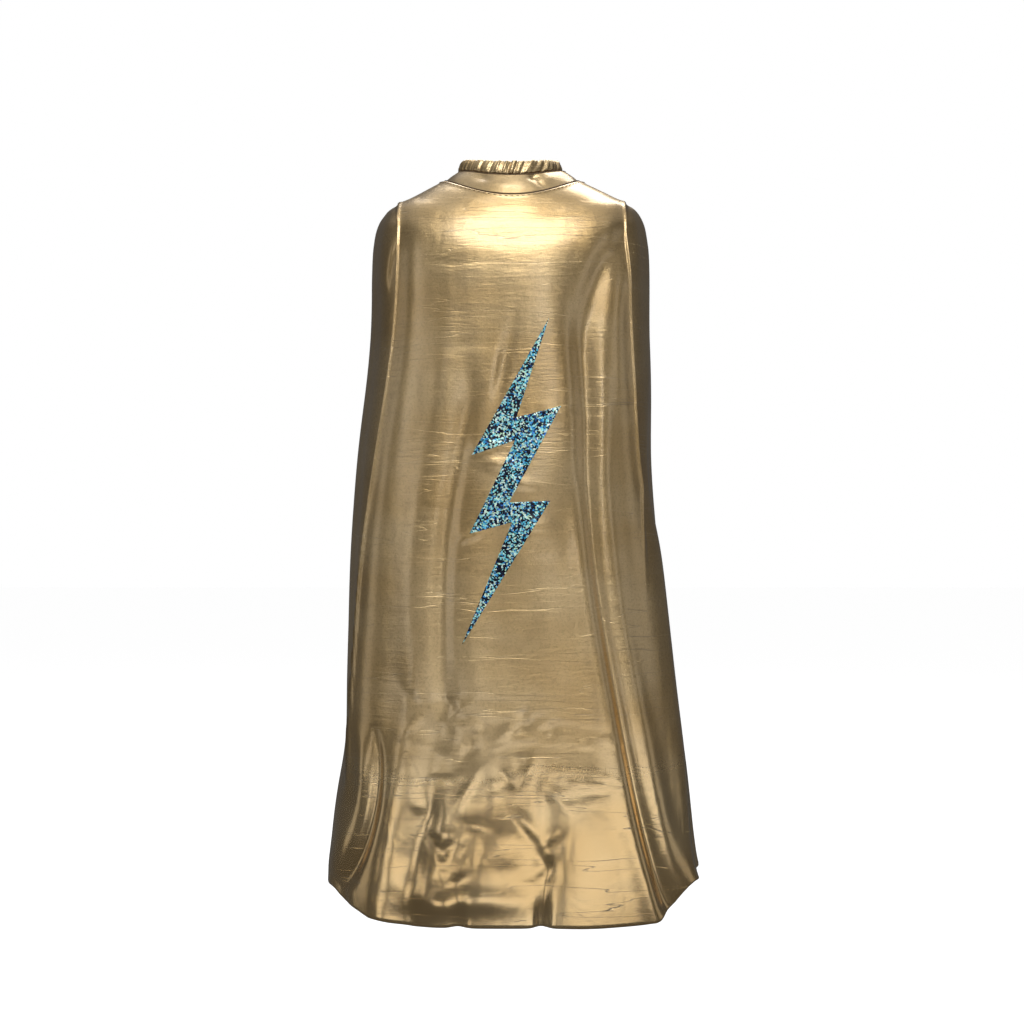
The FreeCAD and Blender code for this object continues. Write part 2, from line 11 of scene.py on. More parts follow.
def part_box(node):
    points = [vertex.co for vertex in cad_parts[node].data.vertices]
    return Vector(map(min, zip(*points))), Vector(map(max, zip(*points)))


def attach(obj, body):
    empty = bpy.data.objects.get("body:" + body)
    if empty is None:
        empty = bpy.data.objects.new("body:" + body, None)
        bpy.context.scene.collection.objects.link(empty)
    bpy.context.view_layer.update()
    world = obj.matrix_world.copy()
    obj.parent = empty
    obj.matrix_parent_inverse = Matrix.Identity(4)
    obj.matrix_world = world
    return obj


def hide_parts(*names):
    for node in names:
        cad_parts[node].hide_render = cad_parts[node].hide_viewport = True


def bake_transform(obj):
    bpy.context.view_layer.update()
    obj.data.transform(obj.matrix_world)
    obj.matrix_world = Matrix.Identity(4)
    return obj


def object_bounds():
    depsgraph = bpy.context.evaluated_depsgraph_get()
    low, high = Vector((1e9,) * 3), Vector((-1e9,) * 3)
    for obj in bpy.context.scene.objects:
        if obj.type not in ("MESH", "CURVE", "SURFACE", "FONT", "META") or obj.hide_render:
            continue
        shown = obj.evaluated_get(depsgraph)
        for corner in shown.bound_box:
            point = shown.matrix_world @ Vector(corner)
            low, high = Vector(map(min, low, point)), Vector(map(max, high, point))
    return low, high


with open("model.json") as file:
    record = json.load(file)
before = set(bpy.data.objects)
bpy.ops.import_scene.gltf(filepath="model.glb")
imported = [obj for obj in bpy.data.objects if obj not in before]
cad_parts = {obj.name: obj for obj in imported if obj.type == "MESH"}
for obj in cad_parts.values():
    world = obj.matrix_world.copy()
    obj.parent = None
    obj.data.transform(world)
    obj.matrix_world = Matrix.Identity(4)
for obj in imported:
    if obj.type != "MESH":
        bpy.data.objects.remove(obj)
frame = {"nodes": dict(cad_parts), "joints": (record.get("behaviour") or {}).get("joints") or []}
cad_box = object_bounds()

# Studio: the cape hangs in front of a long lens that looks level at the middle of its back.
# The floor is pale, the light comes from large soft boxes above and on both sides.
EYE_HEIGHT = -0.348
EYE_DISTANCE = 1.62

camera = bpy.data.objects.new("eye", bpy.data.cameras.new("eye"))
bpy.context.collection.objects.link(camera)
camera.location = (0, -EYE_DISTANCE, EYE_HEIGHT)
camera.rotation_euler = (math.radians(90), 0, 0)
camera.data.lens = 56.2
camera.data.sensor_width = 36
bpy.context.scene.camera = camera
bpy.context.scene.view_settings.view_transform = "Standard"


def soft_box(name, place, target, width, height, brightness):
    """A large lamp of an even brightness at a place, which faces a target."""
    lamp = bpy.data.lights.new(name, "AREA")
    lamp.shape = "RECTANGLE"
    lamp.size = width
    lamp.size_y = height
    lamp.energy = brightness * math.pi * width * height
    holder = bpy.data.objects.new(name, lamp)
    bpy.context.collection.objects.link(holder)
    holder.location = place
    aim = Vector(target) - Vector(place)
    holder.rotation_euler = aim.to_track_quat("-Z", "Y").to_euler()
    holder.visible_camera = False


BODY_MIDDLE = (0, 0, -0.35)
soft_box("top_box", (0.04, -1.75, 1.25), (0, 0, -0.1), 1.2, 1.0, 3.9)
soft_box("overhead_box", (0.0, -0.62, 1.5), (0, 0, 0), 0.5, 0.4, 3.2)
soft_box("upper_box", (0.25, -2.6, 0.60), BODY_MIDDLE, 0.50, 0.46, 1.9)
soft_box("narrow_box", (0.39, -2.6, 0.02), BODY_MIDDLE, 0.25, 0.66, 3.0)
soft_box("back_box", (-0.50, -2.7, 0.30), BODY_MIDDLE, 0.42, 0.7, 0.62)
soft_box("left_strip", (-1.75, -2.0, 0.0), BODY_MIDDLE, 0.42, 1.7, 1.15)
soft_box("right_strip", (2.20, -2.1, 0.1), BODY_MIDDLE, 0.70, 1.5, 0.55)
soft_box("far_left_strip", (-2.3, -0.5, -0.3), BODY_MIDDLE, 0.9, 1.7, 0.36)
soft_box("far_right_strip", (2.3, -0.5, -0.3), BODY_MIDDLE, 0.9, 1.7, 0.30)
soft_box("low_box", (0.64, -1.7, -0.99), (0.20, 0, -0.68), 1.70, 0.46, 1.25)
soft_box("low_left_box", (-0.62, -1.7, -1.00), (-0.10, 0, -0.68), 0.46, 0.44, 1.25)
soft_box("front_box", (0.3, 1.7, 2.3), BODY_MIDDLE, 2.0, 1.6, 3.0)


class Level:
    """A number that varies over a surface. Sums on it add the nodes that work it out."""

    def __init__(self, finish, socket):
        self.finish = finish
        self.socket = socket

    def __add__(self, other):
        return self.finish.sum("ADD", self, other)

    def __sub__(self, other):
        return self.finish.sum("SUBTRACT", self, other)

    def __rsub__(self, other):
        return self.finish.sum("SUBTRACT", other, self)

    def __mul__(self, other):
        return self.finish.sum("MULTIPLY", self, other)

    def __pow__(self, other):
        return self.finish.sum("POWER", self, other)

    __radd__ = __add__
    __rmul__ = __mul__


class Finish:
    """A material, built from its nodes."""

    def __init__(self, name, **constants):
        self.material = bpy.data.materials.new(name)
        self.material.use_nodes = True
        self.tree = self.material.node_tree
        self.shader = self.tree.nodes["Principled BSDF"]
        for socket, value in constants.items():
            self.feed(self.shader.inputs[socket.replace("_", " ")], value)

    def feed(self, socket, value):
        """Sets a socket, or links it to what feeds it."""
        if isinstance(value, Level):
            value = value.socket
        if isinstance(value, bpy.types.NodeSocket):
            self.tree.links.new(value, socket)
        else:
            socket.default_value = value

    def node(self, kind, settings=None, **inputs):
        """A node of a kind: its settings first, then the values or links of its sockets."""
        node = self.tree.nodes.new("ShaderNode" + kind)
        for key, value in (settings or {}).items():
            if key == "stops":
                self.set_stops(node.color_ramp, value)
            else:
                setattr(node, key, value)
        for key, value in inputs.items():
            socket = node.inputs[int(key[1:])] if key[0] == "i" and key[1:].isdigit() else node.inputs[
                key.replace("_", " ")]
            self.feed(socket, value)
        return node

    @staticmethod
    def set_stops(ramp, stops):
        while len(ramp.elements) < len(stops):
            ramp.elements.new(0.5)
        for element, (place, color) in zip(ramp.elements, stops):
            element.position = place
            element.color = (*color, 1)

    def sum(self, operation, first, second):
        return Level(self, self.node("Math", {"operation": operation}, i0=first, i1=second).outputs[0])

    def place(self, scale):
        """The piece's own coordinates, stretched by a scale along each axis."""
        coordinates = self.node("TexCoord").outputs["Object"]
        return self.node("Mapping", Vector=coordinates, Scale=scale).outputs[0]

    def noise(self, scale, detail=2.0, warp=0.0, rough=0.5):
        node = self.node("TexNoise", Vector=self.place(scale), Scale=1.0, Detail=detail, Distortion=warp,
                         Roughness=rough)
        return Level(self, node.outputs["Fac"])

    def band(self, value, low, high, out_low=0.0, out_high=1.0):
        """Carries a value from one span to another, smoothly and clamped."""
        node = self.node("MapRange", {"interpolation_type": "SMOOTHSTEP"}, Value=value, From_Min=low,
                         From_Max=high, To_Min=out_low, To_Max=out_high)
        return Level(self, node.outputs["Result"])

    def mix(self, factor, first, second):
        """A colour between two."""
        node = self.node("Mix", {"data_type": "RGBA"}, i0=factor, i6=first, i7=second)
        return node.outputs[2]

    def along(self, axis):
        """The piece's own coordinate along x, y or z, in metres."""
        node = self.node("SeparateXYZ", Vector=self.node("TexCoord").outputs["Object"])
        return Level(self, node.outputs[axis])

    def relief(self, height, strength, distance):
        node = self.node("Bump", Height=height, Strength=strength, Distance=distance)
        self.feed(self.shader.inputs["Normal"], node.outputs[0])

    def color(self, value):
        self.feed(self.shader.inputs["Base Color"], value)

    def roughness(self, value):
        self.feed(self.shader.inputs["Roughness"], value)


# The room is dim with a paler ceiling, so that the foil mirrors the lamps, and its far walls look white.
world = bpy.data.worlds.new("studio")
bpy.context.scene.world = world
world.use_nodes = True
tree = world.node_tree
direction = tree.nodes.new("ShaderNodeSeparateXYZ")
tree.links.new(tree.nodes.new("ShaderNodeTexCoord").outputs["Generated"], direction.inputs[0])
ceiling = tree.nodes.new("ShaderNodeMapRange")
ceiling.interpolation_type = "SMOOTHSTEP"
tree.links.new(direction.outputs["Z"], ceiling.inputs["Value"])
for socket, value in (("From Min", 0.45), ("From Max", 0.9), ("To Min", 0.08), ("To Max", 0.5)):
    ceiling.inputs[socket].default_value = value
wall = tree.nodes.new("ShaderNodeMath")
wall.operation = "MAXIMUM"
tree.links.new(ceiling.outputs[0], wall.inputs[0])
tree.links.new(tree.nodes.new("ShaderNodeLightPath").outputs["Is Camera Ray"], wall.inputs[1])
tree.links.new(wall.outputs[0], tree.nodes["Background"].inputs["Color"])

FLOOR_HEIGHT = cad_box[0][2] - 0.34
mesh = bmesh.new()
bmesh.ops.create_grid(mesh, x_segments=1, y_segments=1, size=14)
bmesh.ops.translate(mesh, verts=mesh.verts, vec=(0, 0, FLOOR_HEIGHT))
floor_mesh = bpy.data.meshes.new("floor")
mesh.to_mesh(floor_mesh)
mesh.free()
floor = bpy.data.objects.new("floor", floor_mesh)
bpy.context.collection.objects.link(floor)
pale = Finish("pale_floor", Base_Color=(0.80, 0.80, 0.80, 1), Roughness=0.8,
              Emission_Color=(1, 1, 1, 1), Emission_Strength=0.75)
floor.visible_glossy = False
floor.data.materials.append(pale.material)

# Foil cloth: the outer panel of the cape, one piece of knit cloth printed with gold foil. It is gathered to
# the collar seam, falls flat down the back, turns forward in flutes at both sides and rolls under at the hem.
HALF_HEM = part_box("outer_shell")[1][0]
HEM_DEPTH = -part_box("outer_shell")[0][1]
HEM_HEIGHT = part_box("outer_shell")[0][2]
SEAM_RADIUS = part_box("collar_stand")[1][0]
SEAM_DROP = 0.017
SEAM_DIP = 0.025
FRONT_GAP = 0.018
HALF_SHOULDER = 0.142
SHOULDER_DROP = 0.080
SHOULDER_DIP = 0.036
SHOULDER_DEPTH = 0.086
SHOULDER_WRAP = 132.0
HEM_WRAP = 116.0
SEAM_WRAP = 180 - math.degrees(FRONT_GAP / 2 / SEAM_RADIUS)
SQUARE_TORSO = 2.7
RINGS = 11
HEM_ROLL = 0.0028


def make_rings():
    """Half width, depth, drop, dip, wrap and squareness of each level from the collar seam to the hem."""
    rings = [(SEAM_RADIUS, SEAM_RADIUS, SEAM_DROP, SEAM_DIP, SEAM_WRAP, 2.0)]
    for across, down, falls, turned in (
            (0.44, 0.25, 0.2, 0.35), (0.83, 0.47, 0.9, 0.7), (1.0, 1.0, 1.0, 1.0)):
        rings.append((
            SEAM_RADIUS + across * (HALF_SHOULDER - SEAM_RADIUS),
            SEAM_RADIUS + turned * (SHOULDER_DEPTH - SEAM_RADIUS),
            SEAM_DROP + down * (SHOULDER_DROP - SEAM_DROP),
            SEAM_DIP + falls * (SHOULDER_DIP - SEAM_DIP),
            SEAM_WRAP + across ** 0.6 * (SHOULDER_WRAP - SEAM_WRAP),
            2.0 + turned * (SQUARE_TORSO - 2.0)))
    for part in np.arange(1, 8) / 7:
        flare = part ** 1.3
        rings.append((
            HALF_SHOULDER + flare * (HALF_HEM - HALF_SHOULDER),
            SHOULDER_DEPTH + flare * (HEM_DEPTH - SHOULDER_DEPTH),
            SHOULDER_DROP + part * (-HEM_HEIGHT - SHOULDER_DROP),
            SHOULDER_DIP * (1 - part) ** 3,
            SHOULDER_WRAP + part * (HEM_WRAP - SHOULDER_WRAP),
            SQUARE_TORSO))
    return np.array(rings)


ring_table = make_rings()


def at_level(level):
    """The rings' fields at fractional levels, on a smooth curve through the rings."""
    index = np.clip(np.floor(level).astype(int), 0, RINGS - 2)
    part = (level - index)[:, None]
    before = ring_table[np.maximum(index - 1, 0)]
    this = ring_table[index]
    after = ring_table[index + 1]
    beyond = ring_table[np.minimum(index + 2, RINGS - 1)]
    return ((2 * part ** 3 - 3 * part ** 2 + 1) * this
            + (part ** 3 - 2 * part ** 2 + part) * (after - before) / 2
            + (3 * part ** 2 - 2 * part ** 3) * after + (part ** 3 - part ** 2) * (beyond - this) / 2)


def plain_form(across, level):
    """The cape without folds; across runs from -1 to 1 between its front edges."""
    width, depth, drop, dip, wrap, square = at_level(level).T
    angle = np.radians(across * wrap)
    side = np.sin(angle)
    back = np.cos(angle)
    reach = (np.abs(side / width) ** square + np.abs(back / depth) ** square) ** (-1 / square)
    return np.stack([reach * side, -reach * back, -drop - dip * back ** 2], axis=1)


def outward(surface, across, level):
    """Unit normals of a surface, away from the wearer."""
    step = 2e-4
    low = np.maximum(level - step, 0)
    high = np.minimum(level + step, RINGS - 1)
    along = surface(across + step, level) - surface(across - step, level)
    down = surface(across, high) - surface(across, low)
    normal = np.cross(down, along)
    normal /= np.linalg.norm(normal, axis=1)[:, None]
    return normal


def course(points, height):
    """Sideways place of a fold at each height, on a smooth curve through a few points."""
    heights = np.array([point[1] for point in points])[::-1]
    sides = np.array([point[0] for point in points])[::-1]
    order = min(3, len(points) - 1)
    curve = np.polynomial.Polynomial.fit(heights, sides, order)
    return curve(np.clip(height, heights[0], heights[-1]))


def profile(points, height):
    """A fold's depth or width at each height."""
    heights = [point[0] for point in points][::-1]
    values = [point[1] for point in points][::-1]
    return np.interp(height, heights, values)


def bell(distance, width):
    return np.exp(-(distance / width) ** 2)


def rise(distance, width):
    """Climbs from 0 to 1 around distance 0."""
    return 1 / (1 + np.exp(np.clip(-distance / width, -40, 40)))


# courses of the folds down the back: place across and height
LEFT_CREST = [(-0.113, -0.055), (-0.112, -0.10), (-0.113, -0.16), (-0.118, -0.21), (-0.127, -0.28),
              (-0.133, -0.34), (-0.142, -0.41), (-0.152, -0.49), (-0.163, -0.58)]
RIGHT_CREST = [(0.111, -0.055), (0.116, -0.10), (0.117, -0.16), (0.122, -0.21), (0.129, -0.26),
               (0.138, -0.325)]
SHOULDER_FLUTE = [(-0.113, -0.062), (-0.120, -0.08), (-0.126, -0.10), (-0.130, -0.127)]
LONG_FOLD = [(0.061, -0.145), (0.074, -0.264), (0.082, -0.312), (0.092, -0.394), (0.098, -0.479),
             (0.106, -0.558), (0.116, -0.601), (0.133, -0.669), (0.156, -0.745)]
BLADE_FOLD = [(0.118, -0.070), (0.094, -0.104), (0.080, -0.13), (0.075, -0.20), (0.073, -0.32)]
SOFT_FOLD = [(-0.036, -0.24), (-0.046, -0.31), (-0.057, -0.40), (-0.061, -0.475), (-0.062, -0.55)]
CORNER_FOLD = [(-0.131, -0.557), (-0.128, -0.585), (-0.130, -0.618), (-0.144, -0.675), (-0.170, -0.730)]
STREAK_FOLD = [(-0.083, -0.476), (-0.111, -0.602), (-0.135, -0.719)]
FAN_FOLD = [(0.040, -0.52), (0.036, -0.60), (0.028, -0.74)]
PINCH_FOLD = [(-0.050, -0.68), (-0.052, -0.744)]
# the three tacks in the hem: metres across, and the same as shares of the cloth
TACKS = (-0.052, 0.028, 0.139)
TACK_PLACES = (-0.253, 0.145, 0.533)
# each long fold: its course, a shift sideways from it, then its height and its width at a few places down it
LONG_FOLDS = [
    (LONG_FOLD, 0.0, [(-0.10, 0.0), (-0.2, -0.0030), (-0.4, -0.0034), (-0.6, -0.0042), (-0.744, -0.0058)],
     [(-0.1, 0.014), (-0.4, 0.0046), (-0.6, 0.005), (-0.744, 0.007)]),
    (LONG_FOLD, -0.014, [(-0.25, 0.0), (-0.4, 0.0016), (-0.6, 0.003), (-0.744, 0.004)],
     [(-0.4, 0.008), (-0.744, 0.012)]),
    (LONG_FOLD, 0.018, [(-0.15, 0.0), (-0.4, 0.003), (-0.6, 0.005), (-0.744, 0.006)],
     [(-0.4, 0.010), (-0.744, 0.013)]),
    (BLADE_FOLD, 0.0,
     [(-0.06, 0.0), (-0.08, -0.002), (-0.13, -0.0046), (-0.22, -0.0040), (-0.30, -0.0028), (-0.40, 0.0)],
     [(-0.06, 0.013), (-0.33, 0.013)]),
    (BLADE_FOLD, 0.030, [(-0.07, 0.0), (-0.12, 0.0022), (-0.20, 0.0012), (-0.28, 0.0)],
     [(-0.06, 0.012), (-0.33, 0.014)]),
    (SOFT_FOLD, 0.0, [(-0.20, 0.0), (-0.25, -0.002), (-0.40, -0.0035), (-0.50, -0.003), (-0.58, 0.0)],
     [(-0.2, 0.010), (-0.5, 0.009)]),
    (SOFT_FOLD, 0.030, [(-0.20, 0.0), (-0.30, 0.0014), (-0.50, 0.0014), (-0.58, 0.0)],
     [(-0.2, 0.016), (-0.5, 0.016)]),
    (SOFT_FOLD, -0.028, [(-0.12, 0.0), (-0.22, 0.0016), (-0.50, 0.0012), (-0.58, 0.0)],
     [(-0.2, 0.013), (-0.5, 0.013)]),
    (CORNER_FOLD, 0.0, [(-0.552, 0.0), (-0.58, -0.0025), (-0.65, -0.0045), (-0.744, -0.006)],
     [(-0.55, 0.004), (-0.65, 0.005), (-0.744, 0.008)]),
    (CORNER_FOLD, -0.016, [(-0.555, 0.0), (-0.60, 0.004), (-0.68, 0.003), (-0.744, 0.0)],
     [(-0.6, 0.008), (-0.744, 0.012)]),
    (STREAK_FOLD, 0.0, [(-0.45, 0.0), (-0.55, 0.002), (-0.65, 0.004), (-0.744, 0.005)],
     [(-0.45, 0.010), (-0.65, 0.017), (-0.744, 0.020)]),
    (STREAK_FOLD, 0.034, [(-0.50, 0.0), (-0.60, -0.003), (-0.70, -0.005), (-0.744, -0.004)],
     [(-0.5, 0.012), (-0.744, 0.017)]),
    (FAN_FOLD, 0.0, [(-0.60, 0.0), (-0.68, -0.0012), (-0.72, -0.0035), (-0.744, -0.0065)],
     [(-0.60, 0.014), (-0.70, 0.010), (-0.744, 0.006)]),
    (FAN_FOLD, 0.045, [(-0.50, 0.0), (-0.60, 0.003), (-0.744, 0.004)], [(-0.5, 0.026), (-0.744, 0.030)]),
    (PINCH_FOLD, 0.0, [(-0.69, 0.0), (-0.744, -0.004)], [(-0.69, 0.012), (-0.744, 0.006)])]


def folds(spot, across):
    """Height of the folds over the plain form, in metres, at points of the plain form."""
    x, y, z = spot.T
    back = rise(-y - 0.005, 0.008)
    height = np.zeros_like(x)
    # the crests where the back panel turns forward, each with a hollow inside it and a lower layer outside it
    for points, sign, last in ((LEFT_CREST, -1, -0.60), (RIGHT_CREST, 1, -0.36)):
        fade = rise(z - last, 0.018) * rise(-0.045 - z, 0.008)
        off = sign * (x - course(points, z))
        lip = off + 0.0015
        height += back * fade * (0.0004 * bell(off - 0.001, 0.0014) - 0.012 * rise(off - 0.0030, 0.0008)
                                 - 0.0024 * bell(lip, np.where(lip < 0, 0.010, 0.0013)))
    # the flute over the left shoulder, which ends where the next layer starts
    off = x - course(SHOULDER_FLUTE, z)
    height += back * 0.0022 * rise(-off, 0.0010) * rise(z + 0.127, 0.004) * rise(-0.058 - z, 0.004)
    for points, shift, heights, widths in LONG_FOLDS:
        off = x - course(points, z) - shift
        height += back * profile(heights, z) * bell(off, profile(widths, z))
    # flutes round the sides and the front, deeper towards the hem
    sway = np.clip((-z - 0.08) / 0.66, 0, 1)
    away = rise(np.abs(across) - 0.66, 0.03)
    waves = np.cos(np.abs(across) * 26 + 2.4 + 0.4 * np.sign(across)) * 0.6 + np.cos(across * 41 - 1.1) * 0.4
    height += away * (0.002 + 0.009 * sway) * waves
    # slow unevenness over the whole cloth
    height += 0.0012 * np.sin(x * 38 + 2 * np.sin(z * 11)) * np.sin(z * 17 + x * 9)
    return height


chance = np.random.default_rng(7)
# long creases across the back, short slanted wrinkles low down its middle, and puckers beside the bolt:
# middle, reach, steepness, height and width
CREASES = [(chance.uniform(-0.11, 0.11), -z, chance.uniform(0.02, 0.07), chance.uniform(-0.08, 0.08),
            -chance.uniform(0.0002, 0.0006), 0.0030) for z in (
                0.085, 0.11, 0.14, 0.19, 0.25, 0.31, 0.345, 0.39, 0.45, 0.48, 0.53, 0.555, 0.575, 0.60, 0.62,
                0.69)]
CREASES += [(chance.uniform(-0.10, 0.045), chance.uniform(-0.72, -0.53), chance.uniform(0.008, 0.022),
             chance.choice((-1, 1)) * chance.uniform(0.3, 1.6), chance.uniform(-0.0014, 0.0016),
             chance.uniform(0.0035, 0.006)) for _ in range(46)]
CREASES += [(-0.018, -0.287, 0.016, 0.15, 0.0022, 0.0045), (-0.006, -0.303, 0.014, -0.30, 0.0018, 0.005),
            (0.018, -0.322, 0.016, -0.25, 0.0016, 0.005), (-0.030, -0.372, 0.014, 0.25, 0.0018, 0.004),
            (0.030, -0.362, 0.020, -0.2, 0.0012, 0.005), (0.055, -0.255, 0.020, -0.35, 0.0012, 0.005)]
# narrow slanted creases over the lower part
CREASES += [(middle, level, 0.016, slope, depth, 0.0016) for middle, level, slope, depth in (
    (0.073, -0.572, -0.35, 0.0007), (0.098, -0.570, -0.35, 0.0008), (0.060, -0.608, -0.38, 0.0008),
    (0.076, -0.610, -0.38, 0.0008), (0.100, -0.607, -0.36, 0.0009), (0.048, -0.597, -0.05, 0.0007),
    (0.012, -0.584, 0.22, 0.0008), (-0.012, -0.606, 0.30, 0.0009), (-0.045, -0.600, 0.15, 0.0008),
    (0.040, -0.620, 0.18, 0.0006), (-0.070, -0.604, -0.10, 0.0008), (-0.020, -0.622, 0.12, 0.0007),
    (0.002, -0.555, 0.55, 0.0007), (0.030, -0.551, 0.10, 0.0008), (-0.030, -0.566, 0.40, 0.0007))]
# soft swells: one beside the bolt's top, and those over the rolled hem
CREASES += [(-0.006, -0.215, 0.040, 5.0, -0.0018, 0.008), (-0.006, -0.665, 0.030, 0.25, 0.0024, 0.024),
            (-0.050, -0.722, 0.060, 0.05, 0.0026, 0.012), (-0.100, -0.708, 0.026, -0.25, 0.0022, 0.016),
            (-0.078, -0.640, 0.016, 3.0, -0.0020, 0.010)]


def creases(spot):
    """Shallow creases and wrinkles, left from the cloth's packed folds."""
    x, y, z = spot.T
    height = np.zeros_like(x)
    for middle, level, reach, slope, depth, width in CREASES:
        lean = math.hypot(1, slope)
        along = ((x - middle) + slope * (z - level)) / lean
        off = ((z - level) - slope * (x - middle)) / lean - 0.0015 * np.sin((x - middle) * 90)
        height += depth * bell(off, width) * bell(along, reach)
    return height * rise(-y - 0.01, 0.01)


# how far the hem rises round its corners, at places from the wearer's right to the left
CORNER_PLACES = (-0.180, -0.168, -0.153, -0.142, -0.119, -0.095, 0.140, 0.145, 0.153, 0.160, 0.165, 0.178)
CORNER_LIFTS = (0.028, 0.018, 0.012, 0.007, 0.003, 0.0, 0.0, 0.002, 0.011, 0.018, 0.024, 0.036)


def cloth(across, level, height=None, depth=0.0):
    """The cape's outer face with its folds, or a face at a depth inside it with folds of another height."""
    spot = plain_form(across, level)
    if height is None:
        height = folds(spot, across) + creases(spot)
    ease = np.clip(level / 0.8, 0, 1)
    # the seam allowances lie under the cloth just below the collar seam, and the seam itself is drawn in
    seam = 0.0007 * bell(level - 0.16, 0.08) - 0.0013 * bell(level, 0.05)
    lifted = spot + outward(plain_form, across, level) * (height * ease + seam - depth)[:, None]
    # the sides hang a little to the wearer's left at the middle, and the hem rises round its corners
    lifted[:, 0] -= 0.0095 * bell(lifted[:, 2] + 0.37, 0.14)
    corner = np.interp(lifted[:, 0], CORNER_PLACES, CORNER_LIFTS) + 0.010 * np.clip(lifted[:, 1] / 0.08, 0, 1)
    low = np.clip((level - RINGS + 4) / 3, 0, 1)
    lifted[:, 2] += corner * low ** 3 + HEM_ROLL * (1 - level / (RINGS - 1))
    lifted[:, 0] += 0.003 * low ** 2 * rise(-lifted[:, 0] - 0.12, 0.02)
    return lifted


def cloth_at(across, level, out):
    """A point over the cloth's outer face by the distance out."""
    return cloth(across, level) + outward(cloth, across, level) * np.reshape(out, (-1, 1))


def new_piece(name, mesh, finish):
    """Makes an object of a finished bmesh."""
    data = bpy.data.meshes.new(name)
    mesh.to_mesh(data)
    mesh.free()
    data.shade_smooth()
    piece = bpy.data.objects.new(name, data)
    bpy.context.collection.objects.link(piece)
    piece.data.materials.append(finish.material)
    return piece


def cloth_grid(columns, rows, place, ring=False):
    """A bmesh grid whose corners place(u, v) puts; u and v are arrays from 0 to 1. A ring closes along v."""
    mesh = bmesh.new()
    bmesh.ops.create_grid(mesh, x_segments=columns, y_segments=rows, size=0.5)
    corners = list(mesh.verts)
    flat = np.array([corner.co[:2] for corner in corners]) + 0.5
    for corner, spot in zip(corners, place(flat[:, 0], flat[:, 1])):
        corner.co = spot
    if ring:
        bmesh.ops.remove_doubles(mesh, verts=mesh.verts, dist=1e-6)
        bmesh.ops.holes_fill(mesh, edges=mesh.edges, sides=0)
    bmesh.ops.recalc_face_normals(mesh, faces=mesh.faces)
    return mesh


def thicken(piece, thickness, offset=-1):
    wall = piece.modifiers.new("thickness", "SOLIDIFY")
    wall.thickness = thickness
    wall.offset = offset


MAIN_PART = 0.955           # share of the grid's rows above the rolled hem
SHOULDER_PART = 0.17        # share of the grid's rows above the shoulder points


def row_level(part):
    """Cape level at a share of the way down the cloth, with rows of like height."""
    return np.where(part < SHOULDER_PART, 3 * (part / SHOULDER_PART) ** 1.4,
                    3 + (RINGS - 4) * (part - SHOULDER_PART) / (1 - SHOULDER_PART))


def closer_columns(u):
    """Across value at a share of the grid's columns, which stand closer near the two crests."""
    line = np.linspace(-1, 1, 801)
    count = np.cumsum(0.45 + 0.55 * rise(0.6 - np.abs(line), 0.02) + 3.6 * bell(np.abs(line) - 0.47, 0.07))
    return np.interp(u, (count - count[0]) / (count[-1] - count[0]), line)


def shell_place(u, v):
    """The outer panel with its hem, which rolls under towards the wearer."""
    across = closer_columns(u)
    spot = cloth(across, row_level(np.clip(v / MAIN_PART, 0, 1)))
    curl = np.clip((v - MAIN_PART) / (1 - MAIN_PART), 0, 1)
    edge = cloth(across, np.full_like(u, RINGS - 1.0))
    out = outward(cloth, across, np.full_like(u, RINGS - 1.0))
    out[:, 2] = 0
    out /= np.linalg.norm(out, axis=1)[:, None]
    pinch = sum(bell(edge[:, 0] - tack, 0.010) for tack in TACKS) * rise(-edge[:, 1] - 0.02, 0.01)
    roll = HEM_ROLL * (1 - 0.55 * pinch)
    turn = np.clip(curl / 0.6, 0, 1) * math.pi
    up = np.clip((curl - 0.6) / 0.4, 0, 1) * 0.012
    rolled = edge + out * (roll * (np.cos(turn) - 1))[:, None]
    rolled[:, 2] += up - roll * np.sin(turn)
    return np.where((curl > 0)[:, None], rolled, spot)


GOLD_LIGHT = (0.79, 0.57, 0.28, 1)
GOLD_DEEP = (0.68, 0.45, 0.18, 1)
GOLD_CREASE_HIGHLIGHT = (0.92, 0.76, 0.50, 1)
GOLD_DARK = (0.34, 0.21, 0.07, 1)


# the sharpest packing creases: height at the middle, and steepness
SHARP_CREASES = ((-0.121, 0.05), (-0.171, -0.03), (-0.281, 0.04), (-0.392, -0.05), (-0.480, 0.03),
                 (-0.504, 0.06), (-0.549, -0.02))


